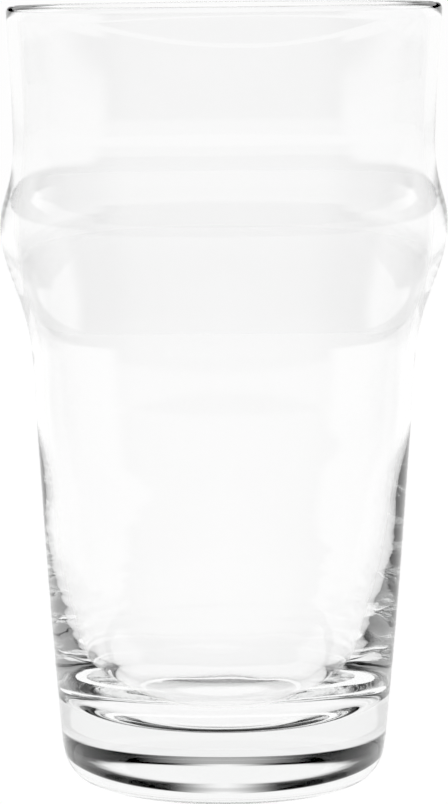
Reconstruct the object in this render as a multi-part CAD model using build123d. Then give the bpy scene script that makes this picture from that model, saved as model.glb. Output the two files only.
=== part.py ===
from build123d import *
import os

# Pint glass with a bulge below the rim, blown in a mould as one piece of soda-lime glass.
# Millimetres, +Z up. The origin is on the table, at the centre of the ring that the glass stands on.

HEIGHT = 152.5  # table to the top of the rim
RIM_THICKNESS = 2.3  # the rim is melted to a full round across the wall

# The wall from the thick base to the rim: (height, outer diameter, wall thickness)
WALL = [
    (44.0, 69.5, 3.05),
    (56.0, 71.1, 2.25),
    (68.0, 72.7, 1.55),
    (80.0, 74.1, 1.6),
    (87.0, 75.3, 1.6),
    (94.0, 78.6, 1.9),
    (101.0, 83.6, 2.5),
    (106.0, 86.4, 2.8),
    (110.0, 87.0, 2.7),
    (114.0, 86.0, 2.5),
    (118.0, 83.7, 2.2),
    (123.0, 82.1, 2.1),
    (129.0, 82.0, 2.2),
    (138.0, 82.8, 2.3),
]
LIP_DIAMETER = 84.4  # outside, where the wall turns over into the rim

# The heel, where the side turns under to the table
HEEL_HEIGHT = 9.4
HEEL_DIAMETER = 63.8
HEEL_LEAN = 0.09  # outward lean of the side above the heel, as radius over height
HEEL_ROUNDNESS = 0.685  # how far each end of the heel's curve keeps its direction, from 0 to 1

# The underside: a standing ring around a shallow hollow
RING_OUTER_DIAMETER = 44.0
RING_INNER_DIAMETER = 40.0
HOLLOW_DEPTH = 0.5

# The deep round bottom of the inside: (height, inner diameter)
BOWL = [
    (36.0, 60.4),
    (30.0, 57.6),
    (24.0, 53.8),
    (21.5, 51.2),
    (19.0, 47.8),
    (16.8, 43.4),
    (15.0, 37.0),
    (13.7, 27.0),
]
BOWL_BOTTOM = 13.0


def lip_ends():
    """The outer and inner points where the wall turns over into the round rim."""
    height = HEIGHT - RIM_THICKNESS / 2
    outer_radius = LIP_DIAMETER / 2
    return (outer_radius, height), (outer_radius - RIM_THICKNESS, height)


def underside():
    """The hollow and the flat standing ring, from the axis outwards."""
    hollow_edge = (RING_INNER_DIAMETER / 2, 0)
    hollow = Bezier((0, HOLLOW_DEPTH), (RING_INNER_DIAMETER / 4, HOLLOW_DEPTH), hollow_edge)
    return hollow + Line(hollow_edge, (RING_OUTER_DIAMETER / 2, 0))


def heel():
    """The curve from the standing ring up into the side."""
    start = Vector(RING_OUTER_DIAMETER / 2, 0)
    end = Vector(HEEL_DIAMETER / 2, HEEL_HEIGHT)
    along_table = Vector((end.X - start.X) * HEEL_ROUNDNESS, 0)
    along_side = Vector(HEEL_LEAN, 1) * (HEEL_HEIGHT * HEEL_ROUNDNESS)
    return Bezier(start, start + along_table, end - along_side, end)


def outside():
    """The outer wall, from the top of the heel to the rim."""
    points = [(HEEL_DIAMETER / 2, HEEL_HEIGHT)]
    points += [(diameter / 2, height) for height, diameter, wall in WALL]
    points.append(lip_ends()[0])
    return Spline(*points)


def rim():
    """The half round over the top of the wall."""
    outer_end, inner_end = lip_ends()
    top = (outer_end[0] - RIM_THICKNESS / 2, HEIGHT)
    return ThreePointArc(outer_end, top, inner_end)


def inside():
    """The inner wall and bowl, from the rim down to the axis, level at the bottom."""
    points = [lip_ends()[1]]
    points += [(diameter / 2 - wall, height) for height, diameter, wall in reversed(WALL)]
    points += [(diameter / 2, height) for height, diameter in BOWL]
    points.append((0, BOWL_BOTTOM))
    return Spline(*points, tangents=[(0, -1), (-1, 0)])


def pint_glass():
    """The whole glass, turned about its axis."""
    axis = Line((0, BOWL_BOTTOM), (0, HOLLOW_DEPTH))
    outline = underside() + heel() + outside() + rim() + inside() + axis
    return revolve(Plane.XZ * make_face(outline), Axis.Z)


os.makedirs("parts", exist_ok=True)
export_step(pint_glass(), "parts/pint_glass.step")
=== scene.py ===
import math

import bpy
import numpy as np
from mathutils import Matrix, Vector, noise


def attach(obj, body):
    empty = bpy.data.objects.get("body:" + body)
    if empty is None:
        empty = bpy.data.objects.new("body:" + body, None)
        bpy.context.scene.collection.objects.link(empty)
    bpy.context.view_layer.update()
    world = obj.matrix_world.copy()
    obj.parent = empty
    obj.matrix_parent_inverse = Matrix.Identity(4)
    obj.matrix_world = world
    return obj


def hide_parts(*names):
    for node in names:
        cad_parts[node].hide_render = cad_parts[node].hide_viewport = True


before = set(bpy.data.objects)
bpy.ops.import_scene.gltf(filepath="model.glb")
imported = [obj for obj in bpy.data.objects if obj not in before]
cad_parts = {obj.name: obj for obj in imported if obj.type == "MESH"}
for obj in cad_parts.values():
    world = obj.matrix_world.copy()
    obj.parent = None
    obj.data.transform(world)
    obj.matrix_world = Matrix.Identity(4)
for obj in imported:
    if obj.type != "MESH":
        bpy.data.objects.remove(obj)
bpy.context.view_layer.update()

MM = 0.001

# ---------------------------------------------------------------- the glass, in millimetres

HEIGHT = 152.5
RIM_THICKNESS = 2.3
LIP_DIAMETER = 84.4
LIP_LEAN = 0.05  # outward lean of the wall at the lip, as radius over height

# (height, outer diameter, wall thickness), from the thick base to the rim
WALL = [
    (44.0, 69.5, 3.05),
    (56.0, 71.1, 2.25),
    (68.0, 72.7, 1.55),
    (80.0, 74.1, 1.6),
    (87.0, 75.3, 1.6),
    (94.0, 78.6, 1.9),
    (101.0, 83.6, 2.5),
    (106.0, 86.4, 2.8),
    (110.0, 87.0, 2.7),
    (114.0, 86.0, 2.5),
    (118.0, 83.7, 2.2),
    (123.0, 82.1, 2.1),
    (129.0, 82.0, 2.2),
    (138.0, 82.8, 2.3),
]

HEEL_HEIGHT = 9.4
HEEL_DIAMETER = 63.8
HEEL_LEAN = 0.09
HEEL_ROUNDNESS = 0.685
RING_OUTER_DIAMETER = 44.0
RING_INNER_DIAMETER = 40.0
HOLLOW_DEPTH = 0.5
BOWL = [
    (36.0, 60.4),
    (30.0, 57.6),
    (24.0, 53.8),
    (21.5, 51.2),
    (19.0, 47.8),
    (16.8, 43.4),
    (15.0, 37.0),
    (13.7, 27.0),
]
BOWL_BOTTOM = 13.0

# What hand and mould leave uneven: the hollow sits off centre low down, so that the wall is thicker
# on the right, the rim is out of level, and the thick glass has fine ripples on the inside
HOLLOW_SHIFT = 0.6
SHIFT_TOP = 70.0  # no shift above this height
SHIFT_BOTTOM = 30.0  # the whole shift below this height
RIM_TILT = 0.6  # degrees
RIPPLE = 0.03
RIPPLE_TOP = 62.0  # no ripples above this height
RIPPLE_FULL = 30.0  # full ripples below this height
RIPPLE_RADIUS = 10.0  # full ripples outside this radius, and none at the axis
RIPPLE_LENGTH = 12.0  # round the glass
RIPPLE_WIDTH = 1.7  # up the wall
RIPPLE_TWIST = 0.012  # radians round the axis for each millimetre up

# How finely the section is divided
AROUND = 320
HOLLOW_POINTS = 20
RING_POINTS = 3
HEEL_POINTS = 24
WALL_POINTS = 80
RIM_POINTS = 14
INSIDE_HIGH_POINTS = 45  # along the upper half of the inside
INSIDE_LOW_POINTS = 105  # along the lower half, which is in the thick glass


def bezier(points, count):
    """Points along a Bezier curve of any degree, without the last one."""
    points = np.array(points, float)
    degree = len(points) - 1
    t = np.linspace(0, 1, count, endpoint=False)[:, None]
    return sum(
        math.comb(degree, i) * (1 - t) ** (degree - i) * t**i * points[i]
        for i in range(degree + 1)
    )


def spline(points, start, end, places):
    """A smooth cubic curve through the given points, at places from 0 to 1 along it.
    start and end are the directions at its ends."""
    points = np.array(points, float)
    steps = np.linalg.norm(np.diff(points, axis=0), axis=1)
    size = len(points)
    matrix = np.zeros((size, size))
    right = np.zeros((size, 2))
    matrix[0, 0] = matrix[-1, -1] = 1
    right[0] = np.array(start) / np.linalg.norm(start)
    right[-1] = np.array(end) / np.linalg.norm(end)
    slopes = np.diff(points, axis=0) / steps[:, None]
    for i in range(1, size - 1):
        before, after = steps[i - 1], steps[i]
        matrix[i, i - 1 : i + 2] = after, 2 * (before + after), before
        right[i] = 3 * (after * slopes[i - 1] + before * slopes[i])
    tangents = np.linalg.solve(matrix, right)
    length = np.concatenate([[0], np.cumsum(steps)])
    place = places * length[-1]
    i = np.clip(np.searchsorted(length, place, side="right") - 1, 0, size - 2)
    t = ((place - length[i]) / steps[i])[:, None]
    step = steps[i][:, None]
    return (
        (2 * t**3 - 3 * t**2 + 1) * points[i]
        + (t**3 - 2 * t**2 + t) * step * tangents[i]
        + (3 * t**2 - 2 * t**3) * points[i + 1]
        + (t**3 - t**2) * step * tangents[i + 1]
    )


def outside():
    """The half section from the axis under the base, up the outside and over the rim."""
    ring_inner = (RING_INNER_DIAMETER / 2, 0)
    ring_outer = np.array([RING_OUTER_DIAMETER / 2, 0])
    heel_top = np.array([HEEL_DIAMETER / 2, HEEL_HEIGHT])
    along_table = np.array([(heel_top[0] - ring_outer[0]) * HEEL_ROUNDNESS, 0])
    along_side = np.array([HEEL_LEAN, 1]) * HEEL_HEIGHT * HEEL_ROUNDNESS
    lip = (LIP_DIAMETER / 2, HEIGHT - RIM_THICKNESS / 2)
    wall = [tuple(heel_top)] + [(d / 2, h) for h, d, thickness in WALL] + [lip]
    places = np.linspace(0, 1, WALL_POINTS, endpoint=False)
    over_rim = np.linspace(0, math.pi, RIM_POINTS, endpoint=False)[:, None]
    rim_centre = np.array([lip[0] - RIM_THICKNESS / 2, lip[1]])
    rim = rim_centre + RIM_THICKNESS / 2 * np.hstack([np.cos(over_rim), np.sin(over_rim)])
    hollow = [(0, HOLLOW_DEPTH), (RING_INNER_DIAMETER / 4, HOLLOW_DEPTH), ring_inner]
    heel = [ring_outer, ring_outer + along_table, heel_top - along_side, heel_top]
    return np.concatenate(
        [
            bezier(hollow, HOLLOW_POINTS),
            bezier([ring_inner, ring_outer], RING_POINTS),
            bezier(heel, HEEL_POINTS),
            spline(wall, (HEEL_LEAN, 1), (LIP_LEAN, 1), places),
            rim,
        ]
    )


def inside():
    """The half section from the rim down the inside to the axis."""
    lip = (LIP_DIAMETER / 2 - RIM_THICKNESS, HEIGHT - RIM_THICKNESS / 2)
    wall = [lip] + [(d / 2 - thickness, h) for h, d, thickness in reversed(WALL)]
    wall += [(d / 2, h) for h, d in BOWL] + [(0, BOWL_BOTTOM)]
    upper = np.linspace(0, 0.5, INSIDE_HIGH_POINTS, endpoint=False)
    lower = np.linspace(0.5, 1, INSIDE_LOW_POINTS)
    return spline(wall, (-LIP_LEAN, -1), (-1, 0), np.concatenate([upper, lower]))


def rise(value, start, end):
    """0 up to start, 1 from end, smooth between; start may be above end."""
    t = np.clip((value - start) / (end - start), 0, 1)
    return t * t * (3 - 2 * t)


def ripples(angle, height):
    """How far the inside stands out or in at an angle and a height."""
    turned = angle + RIPPLE_TWIST * height
    reach = HEEL_DIAMETER / 2 / RIPPLE_LENGTH
    place = Vector((math.cos(turned) * reach, math.sin(turned) * reach, height / RIPPLE_WIDTH))
    return RIPPLE * noise.fractal(place, 1.0, 2.0, 2)


def ring_places(section, hollow, angle):
    """Every point of the section at every angle, in millimetres, with the glass's unevenness."""
    radius = np.repeat(section[:, :1], len(angle), axis=1)
    height = np.repeat(section[:, 1:], len(angle), axis=1)
    depth = rise(section[:, 1], RIPPLE_TOP, RIPPLE_FULL) * rise(section[:, 0], 0, RIPPLE_RADIUS)
    for i in np.flatnonzero(hollow & (depth > 0)):
        radius[i] += [depth[i] * ripples(a, section[i, 1]) for a in angle]
    shift = HOLLOW_SHIFT * hollow * rise(section[:, 1], SHIFT_TOP, SHIFT_BOTTOM)
    x = radius * np.cos(angle) - shift[:, None]
    y = radius * np.sin(angle)
    z = height + x * math.tan(math.radians(RIM_TILT)) * height / HEIGHT
    return np.stack([x, y, z], axis=-1).reshape(-1, 3)


def ring_faces(rows, around):
    """Quads between the rings, and a fan of triangles to the point that closes each end."""
    low, high = rows * around, rows * around + 1
    faces = []
    for j in range(around):
        k = (j + 1) % around
        faces.append((low, k, j))
        faces.append((high, (rows - 1) * around + j, (rows - 1) * around + k))
        for i in range(rows - 1):
            faces.append((i * around + j, i * around + k, (i + 1) * around + k, (i + 1) * around + j))
    return faces


def turned_glass(name, outer, inner, around):
    """A closed mesh, made by turning the two half sections about the Z axis."""
    angle = np.linspace(0, 2 * math.pi, around, endpoint=False)
    section = np.concatenate([outer[1:], inner[:-1]])
    hollow = np.arange(len(section)) >= len(outer) - 1
    ends = [[0, 0, outer[0][1]], [-HOLLOW_SHIFT, 0, inner[-1][1]]]
    places = np.vstack([ring_places(section, hollow, angle), ends]) * MM
    mesh = bpy.data.meshes.new(name)
    mesh.from_pydata(places.tolist(), [], ring_faces(len(section), around))
    mesh.polygons.foreach_set("use_smooth", [True] * len(mesh.polygons))
    mesh.update()
    piece = bpy.data.objects.new(name, mesh)
    bpy.context.scene.collection.objects.link(piece)
    return piece


# ---------------------------------------------------------------- materials


def math_node(tree, operation, *inputs):
    """A Math node whose inputs are sockets or numbers."""
    node = tree.nodes.new("ShaderNodeMath")
    node.operation = operation
    for socket, value in zip(node.inputs, inputs):
        if isinstance(value, bpy.types.NodeSocket):
            tree.links.new(value, socket)
        else:
            socket.default_value = value
    return node.outputs[0]


def fade(tree, value, start, end, first, last):
    """A smooth change from first, at start, to last, at end."""
    node = tree.nodes.new("ShaderNodeMapRange")
    node.interpolation_type = "SMOOTHSTEP"
    tree.links.new(value, node.inputs["Value"])
    for name, number in zip(("From Min", "From Max", "To Min", "To Max"), (start, end, first, last)):
        node.inputs[name].default_value = number
    return node.outputs[0]


# Lengths in metres
WAVE_SIZE = 0.018  # across the faint waves of the surface
WAVE_HEIGHT = 0.00001
SCUFF_SIZE = 0.0012
SCUFF_TOP = 0.0003  # no scuffs above this height
SCUFF_ROUGHNESS = 0.3
SCUFF_CONTRAST = (0.35, 0.65)  # noise levels of clear and of fully scuffed glass
ABSORPTION = 3.0  # for each metre of glass; about half of it counts, because the tint is mid grey
TINT = (0.48, 0.5, 0.49, 1)


def noise_at(tree, place, size, detail):
    """Noise with features of a size in metres."""
    node = tree.nodes.new("ShaderNodeTexNoise")
    tree.links.new(place, node.inputs["Vector"])
    node.inputs["Scale"].default_value = 1 / size
    node.inputs["Detail"].default_value = detail
    return node.outputs[0]


def glass_material():
    """Clear soda-lime glass with faint waves, scuffed where it stands on the table."""
    material = bpy.data.materials.new("clear_glass")
    material.use_nodes = True
    tree = material.node_tree
    shader = tree.nodes["Principled BSDF"]
    shader.inputs["Base Color"].default_value = (1, 1, 1, 1)
    shader.inputs["Transmission Weight"].default_value = 1
    shader.inputs["IOR"].default_value = 1.52
    place = tree.nodes.new("ShaderNodeTexCoord").outputs["Object"]
    split = tree.nodes.new("ShaderNodeSeparateXYZ")
    tree.links.new(place, split.inputs[0])
    low = fade(tree, split.outputs["Z"], 0, SCUFF_TOP, SCUFF_ROUGHNESS, 0)
    scuffs = fade(tree, noise_at(tree, place, SCUFF_SIZE, 3), *SCUFF_CONTRAST, 0, 1)
    tree.links.new(math_node(tree, "MULTIPLY", low, scuffs), shader.inputs["Roughness"])
    waves = tree.nodes.new("ShaderNodeBump")
    waves.inputs["Distance"].default_value = WAVE_HEIGHT
    tree.links.new(noise_at(tree, place, WAVE_SIZE, 1), waves.inputs["Height"])
    tree.links.new(waves.outputs[0], shader.inputs["Normal"])
    tint = tree.nodes.new("ShaderNodeVolumeAbsorption")
    tint.inputs["Color"].default_value = TINT
    tint.inputs["Density"].default_value = ABSORPTION
    tree.links.new(tint.outputs[0], tree.nodes["Material Output"].inputs["Volume"])
    return material


def levels(tree, height, stops):
    """Brightness by elevation: stops are (degrees above the horizon, level)."""
    ramp = tree.nodes.new("ShaderNodeValToRGB")
    tree.links.new(height, ramp.inputs[0])
    elements = ramp.color_ramp.elements
    while len(elements) < len(stops):
        elements.new(0.5)
    for element, (elevation, level) in zip(elements, stops):
        element.position = math.sin(math.radians(elevation)) / 2 + 0.5
        element.color = (level, level, level, 1)
    return ramp.outputs[0]


FLOOR_SIZE = 1.6  # metres from the middle to each edge
# The table's white is painted light: it glows by itself over a dark grey diffuse colour
FLOOR_GLOW = 0.985
FLOOR_NEAR_GLOW = 0.82  # painted shade: less glow at the sides and towards the camera
FLOOR_DIFFUSE = 0.1
BEAM_SPREAD = 0.8  # how the painted pool of light widens away from the camera, as half width over distance
BEAM_EDGE = (0.1, 0.18)  # metres to the side at which the painted light starts and ends its fall


def floor_material():
    """A table top made white by painted light, its own glow: even beyond the glass, and less glow, painted
    shade, at the sides and towards the camera.
    """
    material = bpy.data.materials.new("table_painted_glow")
    material.use_nodes = True
    tree = material.node_tree
    shader = tree.nodes["Principled BSDF"]
    shader.inputs["Base Color"].default_value = (FLOOR_DIFFUSE, FLOOR_DIFFUSE, FLOOR_DIFFUSE, 1)
    shader.inputs["Specular IOR Level"].default_value = 0
    shader.inputs["Emission Color"].default_value = (1, 1, 1, 1)
    place = tree.nodes.new("ShaderNodeTexCoord")
    split = tree.nodes.new("ShaderNodeSeparateXYZ")
    tree.links.new(place.outputs["Object"], split.inputs[0])
    aside = math_node(tree, "ABSOLUTE", split.outputs["X"])
    outside_beam = math_node(tree, "MULTIPLY_ADD", split.outputs["Y"], -BEAM_SPREAD, aside)
    glow = fade(tree, outside_beam, *BEAM_EDGE, FLOOR_GLOW, FLOOR_NEAR_GLOW)
    # Painted light: the table glows by itself, evenly in a beam beyond the glass, with painted shade at the
    # sides and towards the camera
    tree.links.new(glow, shader.inputs["Emission Strength"])
    return material


def add_floor():
    mesh = bpy.data.meshes.new("floor")
    corners = [(x * FLOOR_SIZE, y * FLOOR_SIZE, 0) for x, y in ((-1, -1), (1, -1), (1, 1), (-1, 1))]
    mesh.from_pydata(corners, [], [(0, 1, 2, 3)])
    floor = bpy.data.objects.new("floor", mesh)
    bpy.context.scene.collection.objects.link(floor)
    mesh.materials.append(floor_material())


# Screens beyond the glass: half width in degrees to each side of the line from the camera through the
# glass, softness of that edge in degrees, and brightness by elevation. Above the table's far edge is a
# dark gap, dimly lit in the middle with a brighter slit across it, and then a bright screen.
# The last one is a low white wall that goes on round the sides.
SCREENS = [
    (58, 26, [(-90, 1.0), (-5, 1.0), (-0.5, 0.985), (3.7, 0.985), (4.3, 0.0)]),
    (75, 8, [(11.2, 0.0), (11.8, 1.05), (38, 1.05), (42, 0.05)]),
    (8, 8, [(9.9, 0.0), (10.5, 1.05), (38, 1.05), (42, 0.05)]),
    (14, 12, [(3.9, 0.0), (4.3, 0.5), (9.9, 0.5), (10.5, 0.0)]),
    (16, 12, [(5.7, 0.0), (6.2, 0.9), (6.7, 0.0)]),
    (106, 8, [(-0.5, 0.95), (2.9, 0.95), (4.2, 0.0)]),
]
# The room all round is white below the horizon and dark above it, but for a dim glow behind the camera
ROOM_STOPS = [(-0.5, 0.95), (0.5, 0.0095)]
BACK_GLOW = 0.36
BACK_TURN = (100, 130)  # bearings between which the glow comes up


def add_world():
    """A dark studio with pale screens beyond the glass. Bearings are degrees from straight beyond it."""
    world = bpy.data.worlds.new("studio")
    bpy.context.scene.world = world
    world.use_nodes = True
    tree = world.node_tree
    coordinates = tree.nodes.new("ShaderNodeTexCoord")
    split = tree.nodes.new("ShaderNodeSeparateXYZ")
    tree.links.new(coordinates.outputs["Generated"], split.inputs[0])
    bearing = math_node(tree, "DEGREES", math_node(tree, "ARCTAN2", split.outputs["X"], split.outputs["Y"]))
    aside = math_node(tree, "ABSOLUTE", bearing)
    height = math_node(tree, "MULTIPLY_ADD", split.outputs["Z"], 0.5, 0.5)
    back = fade(tree, aside, *BACK_TURN, 0, BACK_GLOW)
    level = math_node(tree, "MAXIMUM", back, levels(tree, height, ROOM_STOPS))
    for half_width, softness, stops in SCREENS:
        within = fade(tree, aside, half_width - softness, half_width + softness, 1, 0)
        lit = math_node(tree, "MULTIPLY", within, levels(tree, height, stops))
        level = math_node(tree, "MAXIMUM", lit, level)
    background = tree.nodes["Background"]
    background.inputs["Color"].default_value = (1, 1, 1, 1)
    tree.links.new(level, background.inputs["Strength"])


def add_camera():
    distance = 0.813
    eye_height = 0.1627
    aim_height = 0.075
    view_height = 0.15624  # metres from the bottom to the top of the picture, at the glass
    data = bpy.data.cameras.new("camera")
    camera = bpy.data.objects.new("camera", data)
    bpy.context.scene.collection.objects.link(camera)
    camera.location = (0, -distance, eye_height)
    camera.rotation_euler = (math.radians(90) - math.atan2(eye_height - aim_height, distance), 0, 0)
    data.sensor_width = 36
    data.lens = data.sensor_width * distance / view_height
    data.clip_start = 0.05
    bpy.context.scene.camera = camera


BLACK = 0.07  # this brightness and all below it come out black
BOUNCES = 32


def set_light_paths():
    """Enough bounces for light that goes round inside the rim and the thick base to come out again."""
    cycles = bpy.context.scene.cycles
    cycles.max_bounces = BOUNCES
    cycles.transmission_bounces = BOUNCES
    cycles.glossy_bounces = BOUNCES


def set_tones():
    """Standard tones with deep blacks, as in a print of clear glass on white."""
    view = bpy.context.scene.view_settings
    view.view_transform = "Standard"
    view.use_curve_mapping = True
    view.curve_mapping.black_level = (BLACK, BLACK, BLACK)
    view.curve_mapping.update()


glass = turned_glass("pint_glass_clear", outside(), inside(), AROUND)
glass.data.materials.append(glass_material())
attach(glass, "root")
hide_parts("pint_glass")
add_floor()
add_world()
add_camera()
set_light_paths()
set_tones()
